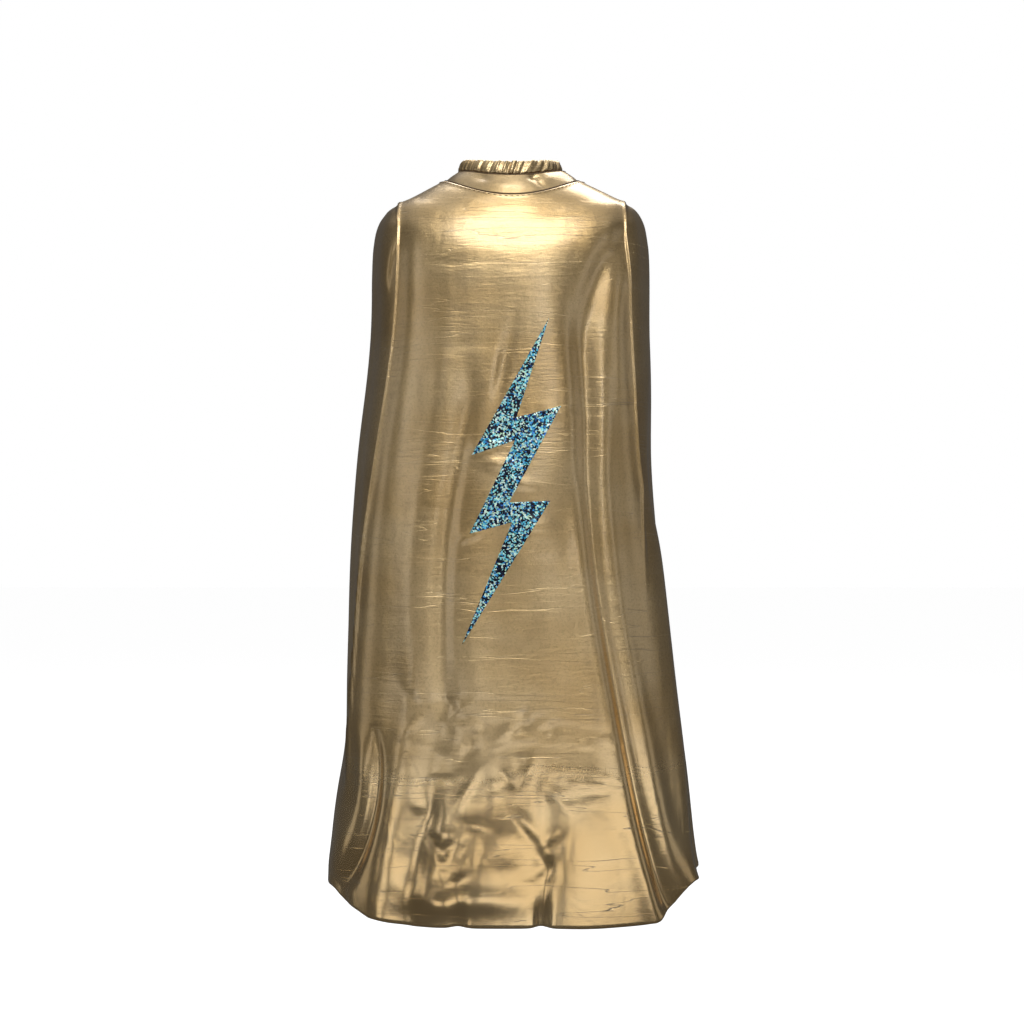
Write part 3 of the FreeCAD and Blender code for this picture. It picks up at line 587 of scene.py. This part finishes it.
def foil(name):
    """Gold foil printed on knit cloth: a leathery broken grain, fine wrinkles and long thin creases, whose
    lines also carry a painted highlight.
    """
    finish = Finish(name, Metallic=0.97, Coat_Weight=1.0, Coat_Roughness=0.24, Coat_IOR=1.7)
    grain = finish.noise((420, 420, 400), 3, 0.3, 0.7)
    cloud = finish.noise((34, 34, 26), 2, 0.6)
    drift = finish.noise((9, 9, 14), 2)
    hang = finish.noise((26, 26, 4), 2, 0.3)
    long_wave = finish.noise((4, 4, 70), 2, 0.2)
    wrinkle = finish.noise((34, 34, 250), 3, 0.9, 0.6)
    patch = finish.noise((13, 13, 20), 1)
    upper = finish.band(finish.along("Z"), -0.66, -0.52, 0.15, 1.0)
    packed = finish.band(patch, 0.38, 0.62, 0.35, 1.0)
    crease = finish.band(finish.sum("ABSOLUTE", long_wave - 0.5, 0.0), 0.0, 0.006, 1.0, 0.0) * packed
    sway = finish.noise((11, 11, 7), 2, 0.2)
    sharp = 0.0
    for height, tilt in SHARP_CREASES:
        off = finish.along("Z") - height - finish.along("X") * tilt - (sway - 0.5) * 0.016
        sharp = sharp + finish.band(finish.sum("ABSOLUTE", off, 0.0), 0.0, 0.0018, 1.0, 0.0)
    crease = crease * finish.band(finish.along("Y"), -0.03, 0.03, 1.0, 0.3)
    sharp = (sharp * finish.band(finish.along("Y"), -0.05, 0.0, 1.0, 0.0)
             * finish.band(patch, 0.36, 0.56, 0.0, 1.0))
    tone = finish.mix(finish.band(drift, 0.3, 0.7), GOLD_DEEP, GOLD_LIGHT)
    tone = finish.mix(finish.band(grain, 0.36, 0.52, 0.22, 0.0) * upper, tone, GOLD_DARK)
    # painted highlight: the long crease lines are coloured paler, standing in for the light that catches
    # their ridges
    finish.color(finish.mix(crease * 0.22, tone, GOLD_CREASE_HIGHLIGHT))
    finish.roughness(0.17 + 0.08 * drift + 0.09 * upper + 0.06 * grain * upper)
    height = (grain * upper * 0.55 + cloud * 2.4 + hang * 5.0 + wrinkle * packed * upper * 1.6
              - crease * 0.7 + sharp * 0.22)
    finish.relief(height, 1.0, 0.00028)
    return finish


foil_cloth = foil("gold_foil")
shell = new_piece("foil_shell", cloth_grid(240, 203, shell_place), foil_cloth)
thicken(shell, 0.0006)
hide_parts("outer_shell")
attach(shell, "cape")

# Lining: smooth dark gold satin, sewn to the front facings and the hem facing, 2 mm inside the foil cloth.
FACING_WIDTH = 0.026
HEM_FACING = 0.038
INSIDE = 0.0032


def facing_share(level):
    """How much of across the front facing covers."""
    edge = plain_form(np.ones_like(level), level)
    near = plain_form(np.full_like(level, 0.98), level)
    return 0.02 * FACING_WIDTH / np.linalg.norm(edge - near, axis=1)


# The layers inside span the narrow folds of the foil cloth. Their own folds are as high as the lowest that
# the foil cloth has near by, evened out, in a table over across and level.
TABLE_ACROSS = 641
TABLE_LEVELS = 161
SPAN_CELLS = 16
EVEN_CELLS = 14
table_across, table_level = np.meshgrid(np.linspace(-1, 1, TABLE_ACROSS),
                                        np.linspace(0, RINGS - 1, TABLE_LEVELS), indexing="ij")
table_spots = plain_form(table_across.ravel(), table_level.ravel())
span_table = folds(table_spots, table_across.ravel()).reshape(table_across.shape)
wide = np.pad(span_table, ((SPAN_CELLS, SPAN_CELLS), (0, 0)), mode="edge")
span_table = np.min([wide[start:start + TABLE_ACROSS] for start in range(2 * SPAN_CELLS + 1)], axis=0)
wide = np.pad(span_table, ((EVEN_CELLS, EVEN_CELLS), (0, 0)), mode="edge")
span_table = np.mean([wide[start:start + TABLE_ACROSS] for start in range(2 * EVEN_CELLS + 1)], axis=0)


def inner_cloth(across, level, depth):
    """A face at a depth inside the cape that spans its narrow folds."""
    column = np.clip((across + 1) / 2 * (TABLE_ACROSS - 1), 0, TABLE_ACROSS - 1.001)
    row = np.clip(level / (RINGS - 1) * (TABLE_LEVELS - 1), 0, TABLE_LEVELS - 1.001)
    left = column.astype(int)
    upper = row.astype(int)
    right_share = column - left
    lower_share = row - upper
    height = ((1 - right_share) * (1 - lower_share) * span_table[left, upper]
              + right_share * (1 - lower_share) * span_table[left + 1, upper]
              + (1 - right_share) * lower_share * span_table[left, upper + 1]
              + right_share * lower_share * span_table[left + 1, upper + 1])
    return cloth(across, level, height, depth)


def inner_part(first, last, top, bottom, depth):
    """A placing function for a layer inside the cape, between two shares of the facing and two levels."""
    def place(u, v):
        level = row_level(top + v * (bottom - top))
        share = facing_share(level)
        start = -1 + first * share
        end = 1 - last * share
        return inner_cloth(start + u * (end - start), level, depth)
    return place


def facing_place(sign):
    def place(u, v):
        level = row_level(v * 0.992)
        across = sign * (1 - facing_share(level) * (0.06 + u * 0.94))
        return cloth_at(across, level, np.full_like(u, -INSIDE + 0.0006))
    return place


CLOTH_LENGTH = 0.79
HEM_START = 1 - HEM_FACING / CLOTH_LENGTH


def satin(name):
    finish = Finish(name, Metallic=0.0, Sheen_Weight=0.5, Sheen_Roughness=0.35, Coat_Weight=0.15,
                    Coat_Roughness=0.35)
    threads = finish.noise((900, 900, 160), 1)
    drift = finish.noise((14, 14, 6), 2)
    finish.color(finish.mix(finish.band(drift, 0.3, 0.7), (0.30, 0.125, 0.022, 1), (0.40, 0.19, 0.045, 1)))
    finish.roughness(0.36 + 0.12 * threads)
    finish.relief(threads * 0.4 + drift, 0.2, 0.001)
    return finish


lining_satin = satin("amber_satin")
lining = new_piece("satin_lining", cloth_grid(190, 200, inner_part(0.97, 0.97, 0.004, HEM_START, INSIDE)),
                   lining_satin)
thicken(lining, 0.0004, 0)
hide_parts("lining")
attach(lining, "cape")

hem_inside = new_piece("hem_facing_strip",
                       cloth_grid(190, 12, inner_part(0.97, 0.97, HEM_START - 0.004, 0.988, INSIDE - 0.0008)),
                       foil_cloth)
thicken(hem_inside, 0.0005, 0)
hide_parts("hem_facing")
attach(hem_inside, "cape")
for side, sign in (("right", -1), ("left", 1)):
    facing = new_piece("front_facing_strip_" + side, cloth_grid(8, 200, facing_place(sign)), foil_cloth)
    thicken(facing, 0.0005, 0)
    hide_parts("front_facing_" + side)
    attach(facing, "cape")

# Collar stand: a plain band of the same foil cloth, cut to a curve, between the neckband and the collar seam.
# It is stiffened inside and lined with satin.
BAND_FOOT = 0.054
BAND_HALF = 0.0055
FOOT_DIP = 0.012


# soft dents and swells: angle, level, height, width in degrees, length in levels
COLLAR_DENTS = ((-30, 0.26, -0.0028, 8, 0.20), (-8, 0.55, 0.0007, 10, 0.25), (22, 0.20, -0.0026, 7, 0.15),
                (36, 0.30, 0.0010, 7, 0.25), (60, 0.5, -0.0009, 8, 0.3), (-58, 0.6, 0.0009, 9, 0.3))


def collar(angle_deg, level):
    """The stand's outer face: angle round the neck from the back, level from the neckband to the seam."""
    angle = np.radians(angle_deg)
    reach = BAND_FOOT + level * (SEAM_RADIUS - BAND_FOOT)
    bulge = 0.0012 * np.sin(np.pi * level)
    drop = BAND_HALF + level * (SEAM_DROP - BAND_HALF)
    dip = FOOT_DIP + level * (SEAM_DIP - FOOT_DIP)
    # a soft diagonal crease at the right of the back
    crease = -0.0016 * bell((angle_deg - 24) * 0.001 - (level - 0.4) * 0.012, 0.004) * np.sin(np.pi * level)
    for turn, share, depth, width, length in COLLAR_DENTS:
        crease = crease + depth * bell(angle_deg - turn, width) * bell(level - share, length)
    drawn_in = -0.0009 * bell(level - 1, 0.06)
    reach = reach + bulge + crease + drawn_in
    return np.stack([reach * np.sin(angle), -reach * np.cos(angle), -drop - dip * np.cos(angle) ** 2], axis=1)


def collar_at(angle_deg, level, out):
    step = 0.02
    along = collar(angle_deg + step, level) - collar(angle_deg - step, level)
    down = collar(angle_deg, level + step / 10) - collar(angle_deg, level - step / 10)
    normal = np.cross(down, along)
    normal /= np.linalg.norm(normal, axis=1)[:, None]
    return collar(angle_deg, level) + normal * np.reshape(out, (-1, 1))


def collar_place(depth, top=0.0, foot=1.03, wrap=SEAM_WRAP):
    """A placing function for a layer of the stand at a depth, between two levels and two like angles."""
    def place(u, v):
        return collar_at((2 * u - 1) * wrap, top + v * (foot - top), np.full_like(u, -depth))
    return place


stand = new_piece("collar_stand_cloth", cloth_grid(240, 30, collar_place(0)), foil_cloth)
thicken(stand, 0.0006)
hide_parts("collar_stand")
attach(stand, "cape")
collar_inside = new_piece("collar_stand_lining", cloth_grid(180, 14, collar_place(0.0030)), lining_satin)
thicken(collar_inside, 0.0005)
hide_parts("collar_lining")
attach(collar_inside, "cape")

# Stiffener: a thin non-woven sheet between the collar stand's two layers.
felt = Finish("stiffener_felt", Roughness=0.9)
fibres = felt.noise((1100, 1100, 1100), 2, 1.0)
felt.color(felt.mix(fibres, (0.52, 0.50, 0.45, 1), (0.66, 0.64, 0.58, 1)))
felt.relief(fibres, 0.4, 0.0004)
stiffener = new_piece("collar_stiffener_sheet", cloth_grid(180, 12, collar_place(
    0.0018, 0.05, 0.93, SEAM_WRAP - 2.5)), felt)
thicken(stiffener, 0.0004)
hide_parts("collar_interfacing")
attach(stiffener, "cape")

# Care label: a blank woven tape that hangs inside from the collar seam at the centre back.
LABEL_WIDTH = 0.022
LABEL_LENGTH = 0.034


def label_place(u, v):
    hang = 0.0016 * np.clip(v / 0.2, 0, 1) + 0.0012 * v ** 2 + 0.0006 * np.sin(u * 5 + v * 3)
    depth = -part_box("care_label")[0][1]
    return np.stack([(u - 0.5) * LABEL_WIDTH, -depth - 0.0016 + hang,
                     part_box("care_label")[1][2] - v * LABEL_LENGTH], axis=1)


label_finish = Finish("label_tape", Roughness=0.75)
weft = label_finish.noise((600, 600, 2600), 1)
label_finish.color(label_finish.mix(weft, (0.74, 0.72, 0.67, 1), (0.86, 0.85, 0.81, 1)))
label_finish.relief(weft, 0.4, 0.0004)
label = new_piece("care_label_tape", cloth_grid(14, 22, label_place), label_finish)
thicken(label, 0.0003, 0)
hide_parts("care_label")
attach(label, "cape")

# Neckband: a casing of foil cloth gathered over an elastic, so its face stands in small slanted puckers.
BAND_MIDDLE = 0.0466
BAND_SHIFT = -0.0018
BAND_WALL = 0.0026
BAND_DIP = 0.008


def band_place(u, v):
    """The casing's closed section swept round the neck; its outer face is drawn into slanted puckers."""
    degrees = (2 * u - 1) * (SEAM_WRAP - 0.5)
    angle = np.radians(degrees)
    turn = v * 2 * math.pi
    side = np.sign(np.cos(turn)) * np.abs(np.cos(turn)) ** 0.6
    rise_part = np.sign(np.sin(turn)) * np.abs(np.sin(turn)) ** 0.7
    outer = np.clip(side, 0, 1)
    lean = (0.0004 + 0.0042 * (1 - rise_part) / 2) * outer
    slant = 0.62 * degrees - rise_part * (2.2 + 1.2 * np.sin(degrees * 0.04)) + 1.7 * np.sin(degrees * 0.11)
    pucker = (np.sin(slant) * (0.75 + 0.45 * np.sin(degrees * 0.17 + 1)) + 0.35 * np.sin(2.3 * slant + 1)
              + 0.5 * np.sin(degrees * 0.29 - rise_part * 0.8 + np.sin(degrees * 0.07)))
    held = 1 - 0.8 * bell(rise_part + 1, 0.35)
    reach = BAND_MIDDLE + side * BAND_WALL + lean + 0.00085 * pucker * held * (0.2 + outer)
    dip = BAND_DIP + (1 - rise_part) / 2 * (FOOT_DIP - BAND_DIP)
    height = rise_part * BAND_HALF + 0.00045 * pucker * np.clip(rise_part, 0, 1)
    return np.stack([reach * np.sin(angle) + BAND_SHIFT, -reach * np.cos(angle),
                     height - dip * np.cos(angle) ** 2], axis=1)


band = new_piece("gathered_neckband", cloth_grid(620, 26, band_place, ring=True), foil_cloth)
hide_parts("neckband")
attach(band, "cape")

# Elastic: a flat woven band that runs through the casing and draws it in.
ELASTIC_HALF = 0.0030
ELASTIC_WALL = 0.0005


def elastic_place(u, v):
    angle = np.radians((2 * u - 1) * (SEAM_WRAP - 2))
    turn = v * 2 * math.pi
    reach = BAND_MIDDLE + 0.0008 + ELASTIC_WALL * np.cos(turn)
    height = ELASTIC_HALF * np.sin(turn) - (BAND_DIP + FOOT_DIP) / 2 * np.cos(angle) ** 2
    return np.stack([reach * np.sin(angle) + BAND_SHIFT, -reach * np.cos(angle), height], axis=1)


tape_finish = Finish("woven_elastic", Roughness=0.8)
ribs = tape_finish.noise((1300, 1300, 300), 1)
tape_finish.color(tape_finish.mix(ribs, (0.62, 0.60, 0.55, 1), (0.85, 0.84, 0.80, 1)))
tape_finish.relief(ribs, 0.5, 0.0005)
elastic = new_piece("casing_elastic", cloth_grid(200, 12, elastic_place, ring=True), tape_finish)
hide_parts("neck_elastic")
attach(elastic, "cape")

# Seam lines: thin dark tubes laid along the drawn-in collar seam and band seam, a painted shadow of the
# grooves there.
SHADOW_TUBE_RADIUS = 0.0008


def shadow_tube_place(path):
    def place(u, v):
        middle = path(u)
        turn = v * 2 * math.pi
        side = middle[:, :2] / np.linalg.norm(middle[:, :2], axis=1)[:, None]
        ring = np.concatenate([side * np.cos(turn)[:, None], np.sin(turn)[:, None]], axis=1)
        return middle + SHADOW_TUBE_RADIUS * ring
    return place


# the tubes' dark brown is painted shade, not a colour of the cloth
seam_shadow_finish = Finish("seam_painted_shadow", Roughness=0.6)
seam_shadow_finish.color(seam_shadow_finish.mix(seam_shadow_finish.noise((900, 900, 900), 1), (0.05, 0.026, 0.008, 1),
                                  (0.14, 0.08, 0.03, 1)))
for name, path in (
        ("collar_seam_shadow_tube", lambda u: cloth_at(
            (2 * u - 1) * 0.99, np.full_like(u, 0.012), np.full_like(u, 0.0009))),
        ("band_seam_shadow_tube", lambda u: collar_at(
            (2 * u - 1) * (SEAM_WRAP - 1), np.full_like(u, 0.012), np.full_like(u, 0.0004)))):
    shadow_tube = new_piece(name, cloth_grid(420, 6, shadow_tube_place(path), ring=True), seam_shadow_finish)
    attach(shadow_tube, "cape")

# Lightning bolt: a holographic film with a fine glitter, bonded to the back of the foil cloth; its glints are
# partly painted into its colour.
BOLT_HEIGHT = 0.314
BOLT_WIDTH = 0.095
BOLT_TOP = -0.1615
BOLT_SIDE = -0.0005
BOLT_CORNERS = [(0.38, 0.00), (0.05, 0.305), (0.50, 0.27), (-0.025, 0.565), (0.39, 0.56), (-0.50, 1.00),
                (0.005, 0.625), (-0.42, 0.66), (0.035, 0.375), (-0.40, 0.42)]
outline = [Vector((BOLT_SIDE + x * BOLT_WIDTH, 0, BOLT_TOP - down * BOLT_HEIGHT))
           for x, down in BOLT_CORNERS]


def in_outline(spot):
    """Whether a point lies inside the bolt."""
    inside = False
    for first, second in zip(outline, outline[1:] + outline[:1]):
        if (first.z > spot.z) != (second.z > spot.z):
            if spot.x < first.x + (spot.z - first.z) * (second.x - first.x) / (second.z - first.z):
                inside = not inside
    return inside


shell_tree = BVHTree.FromObject(shell, bpy.context.evaluated_depsgraph_get())


def onto_back(spot, out):
    """The point on the back of the cape behind a point, raised off it."""
    hit, normal, _, _ = shell_tree.ray_cast(Vector((spot.x, -0.5, spot.z)), Vector((0, 1, 0)))
    if normal.y > 0:
        normal = -normal
    return hit + normal * out


mesh = bmesh.new()
bmesh.ops.create_grid(mesh, x_segments=44, y_segments=140, size=0.5)
bmesh.ops.rotate(mesh, verts=mesh.verts, cent=(0, 0, 0), matrix=Matrix.Rotation(math.radians(90), 3, "X"))
bmesh.ops.scale(mesh, verts=mesh.verts, vec=(BOLT_WIDTH * 1.04, 1, BOLT_HEIGHT * 1.02))
bmesh.ops.translate(mesh, verts=mesh.verts, vec=(BOLT_SIDE, 0, BOLT_TOP - BOLT_HEIGHT / 2))
for first, second in zip(outline, outline[1:] + outline[:1]):
    edge = second - first
    bmesh.ops.bisect_plane(mesh, geom=mesh.verts[:] + mesh.edges[:] + mesh.faces[:], dist=1e-7,
                           plane_co=first, plane_no=(edge.z, 0, -edge.x))
waste = [face for face in mesh.faces if not in_outline(face.calc_center_median())]
bmesh.ops.delete(mesh, geom=waste, context="FACES")
for corner in mesh.verts:
    corner.co = onto_back(corner.co, 0.0006)
bmesh.ops.recalc_face_normals(mesh, faces=mesh.faces)


def hologram():
    finish = Finish("holographic_film", Metallic=0.5, Coat_Weight=0.3, Coat_Roughness=0.1)
    cells = finish.node("TexVoronoi", {"feature": "F1"}, Vector=finish.place((1, 1, 1)), Scale=680.0,
                        Randomness=1.0)
    pick = finish.node("SeparateColor", Color=cells.outputs["Color"])
    chooser = Level(finish, pick.outputs[0])
    sweep = finish.noise((14, 14, 30), 2, 0.8)
    # the cells' colours are partly the film's own blue and cyan tint and partly painted glints and dark
    # reflections: near-white and near-black cells stand in for facets that catch or miss the lamps
    ramp = finish.node("ValToRGB", {"stops": [
        (0.0, (0.003, 0.004, 0.008)), (0.49, (0.004, 0.008, 0.03)), (0.52, (0.01, 0.10, 0.42)),
        (0.57, (0.03, 0.40, 0.64)), (0.66, (0.30, 0.82, 0.82)), (0.75, (0.85, 1.0, 0.92)),
        (0.83, (0.50, 0.80, 0.55)), (0.90, (0.05, 0.38, 0.85)), (1.0, (0.08, 0.05, 0.60))]},
        Fac=chooser * 0.80 + sweep * 0.25)
    finish.color(ramp.outputs[0])
    finish.roughness(0.18 + 0.2 * Level(finish, pick.outputs[1]))
    finish.relief(Level(finish, pick.outputs[2]), 0.25, 0.0006)
    return finish


bond = mesh.copy()
for corner in bond.verts:
    corner.co = onto_back(corner.co, 0.00015)
bolt = new_piece("lightning_film", mesh, hologram())
thicken(bolt, 0.0004, 0)
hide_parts("lightning_bolt")
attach(bolt, "cape")
web_finish = Finish("bond_web", Roughness=0.6)
web_finish.color(web_finish.mix(web_finish.noise((900, 900, 900), 2), (0.30, 0.32, 0.34, 1),
                                (0.55, 0.57, 0.58, 1)))
web = new_piece("bolt_bond_film", bond, web_finish)
thicken(web, 0.0002, 0)
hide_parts("bolt_bond_web")
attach(web, "cape")

# Sewing thread: each visible stitch is a short bead of twisted gold-brown thread.
thread_finish = Finish("sewing_thread", Roughness=0.55, Sheen_Weight=0.3)
twist = thread_finish.noise((2400, 2400, 2400), 1)
thread_finish.color(thread_finish.mix(twist, (0.13, 0.07, 0.02, 1), (0.34, 0.21, 0.08, 1)))
STITCH = 0.0034
PITCH = 0.0056


def stitch_row(mesh, path, radius=0.00036, length=STITCH, pitch=PITCH):
    """Adds beads along a path, an array of close points."""
    gaps = np.linalg.norm(np.diff(path, axis=0), axis=1)
    run = np.concatenate([[0], np.cumsum(gaps)])
    for start in np.arange(pitch / 2, run[-1] - length, pitch):
        ends = [Vector([np.interp(start + part, run, path[:, axis]) for axis in range(3)])
                for part in (0, length)]
        aim = ends[1] - ends[0]
        turn = aim.to_track_quat("Z", "X").to_matrix().to_4x4()
        size = Matrix.Diagonal((radius, radius, length / 2, 1))
        matrix = Matrix.Translation((ends[0] + ends[1]) / 2) @ turn @ size
        bmesh.ops.create_uvsphere(mesh, u_segments=6, v_segments=5, radius=1, matrix=matrix)


def thread_piece(name, rows, replaced, body="cape"):
    mesh = bmesh.new()
    for row in rows:
        stitch_row(mesh, row)
    piece = new_piece(name, mesh, thread_finish)
    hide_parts(replaced)
    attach(piece, body)


PROUD = 0.0002
span = np.linspace(-1, 1, 900)
thread_piece("collar_seam_thread", [
    cloth_at(span * 0.985, np.full_like(span, 0.20), np.full_like(span, PROUD))], "collar_topstitch")
thread_piece("neckband_thread", [collar_at(span * (SEAM_WRAP - 3), np.full_like(span, 0.03),
                                           np.full_like(span, PROUD))], "neckband_stitch")
for side, sign in (("right", -1), ("left", 1)):
    level = row_level(np.linspace(0.01, 0.985, 900))
    across = sign * (1 - facing_share(level) * 0.003 / FACING_WIDTH)
    thread_piece("front_edge_thread_" + side, [cloth_at(across, level, np.full_like(level, PROUD))],
                 "front_stitch_" + side)
level = np.full_like(span, row_level(np.array([HEM_START + 0.003]))[0])
thread_piece("hem_facing_thread", [inner_cloth(span * 0.9, level, INSIDE + 0.0004)],
             "hem_stitch")

# Bar tacks: short thick bars of thread that catch up the rolled hem on its inner side.
mesh = bmesh.new()
for place in TACK_PLACES:
    across = place + np.linspace(-0.02, 0.02, 20)
    level = np.full_like(across, RINGS - 1.0)
    bar = cloth_at(across, level, np.full_like(across, -0.9 * HEM_ROLL - 0.0006))
    bar[:, 2] = np.mean(bar[:, 2]) + 0.004
    stitch_row(mesh, bar, radius=0.0006, length=0.0068, pitch=0.0070)
tack_bars = new_piece("hem_tack_bars", mesh, thread_finish)
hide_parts("hem_tacks")
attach(tack_bars, "cape")

# Closure: a tab of foil cloth sewn to one side of the collar opening. It peels away from the other side,
# where its loop pad grips a hook pad.
tab_joint = frame["joints"][0]
COLLAR_LENGTH = 0.0276
MID_RADIUS = 0.0615
TAB_ROOT = 180 - math.degrees((FRONT_GAP / 2 + 0.004) / MID_RADIUS)
TAB_REACH = 0.048
TAB_SEWN = 0.0144
TAB_HEIGHT = 0.019
TAB_FACE = 0.0037
TAB_ROUND = 0.008


def tab_place(u, v):
    """The tab's outer face: u runs from its sewn end to its rounded free end."""
    run = -TAB_SEWN + u * (TAB_REACH + TAB_SEWN)
    end = np.clip((run - (TAB_REACH - TAB_ROUND)) / TAB_ROUND, 0, 1)
    half = TAB_HEIGHT / 2 * np.sqrt(1 - 0.75 * end ** 2)
    level = 0.5 + (2 * v - 1) * half / COLLAR_LENGTH
    swell = (1 - (2 * v - 1) ** 6) * 0.0003
    return collar_at(TAB_ROOT + np.degrees(run / MID_RADIUS), level, TAB_FACE + swell)


tab = new_piece("closure_tab_cloth", cloth_grid(60, 16, tab_place), foil_cloth)
thicken(tab, 0.0010)
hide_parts("closure_tab", "tab_base")
hinge = Vector(tab_joint["pos_m"])
ahead = Vector(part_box("closure_tab")[0]) + Vector(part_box("closure_tab")[1])
ahead = ahead / 2 - hinge
ahead.z = 0
ahead.y = 0
ahead.normalize()
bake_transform(tab)

hook_finish = Finish("hook_tape", Base_Color=(0.42, 0.28, 0.10, 1), Roughness=0.5)
hook_finish.relief(Level(hook_finish, hook_finish.node(
    "TexVoronoi", Vector=hook_finish.place((1, 1, 1)), Scale=900.0).outputs["Distance"]), 0.9, 0.0015)
loop_finish = Finish("loop_tape", Base_Color=(0.50, 0.36, 0.16, 1), Roughness=0.9, Sheen_Weight=0.6)
loop_finish.relief(loop_finish.noise((1500, 1500, 1500), 3, 1.0), 0.9, 0.0015)
for node, finish in (("hook_pad", hook_finish), ("loop_pad", loop_finish)):
    slots = frame["nodes"][node].material_slots
    for index in range(len(slots)):
        slots[index].material = finish.material


def box_rows(start, reach, height):
    """Four stitch paths round a patch of the tab, from a distance past its fold."""
    margin = 0.0015
    low = 0.5 - (height / 2 - margin) / COLLAR_LENGTH
    high = 0.5 + (height / 2 - margin) / COLLAR_LENGTH
    corners = ((start + margin, low), (start + reach - margin, low), (start + reach - margin, high),
               (start + margin, high))
    rows = []
    for (run_a, level_a), (run_b, level_b) in zip(corners, corners[1:] + corners[:1]):
        part = np.linspace(0, 1, 60)
        run = run_a + part * (run_b - run_a)
        rows.append(collar_at(TAB_ROOT + np.degrees(run / MID_RADIUS), level_a + part * (level_b - level_a),
                              np.full_like(part, TAB_FACE + 0.0004)))
    return rows


PAD_REACH = 0.018
PAD_HEIGHT = 0.014
thread_piece("tab_end_thread", box_rows(-TAB_SEWN, TAB_SEWN - 0.0004, TAB_HEIGHT), "tab_base_stitch")
thread_piece("loop_pad_thread", box_rows(TAB_REACH - PAD_REACH - 0.003, PAD_REACH, PAD_HEIGHT),
             "loop_pad_stitch", "tab")
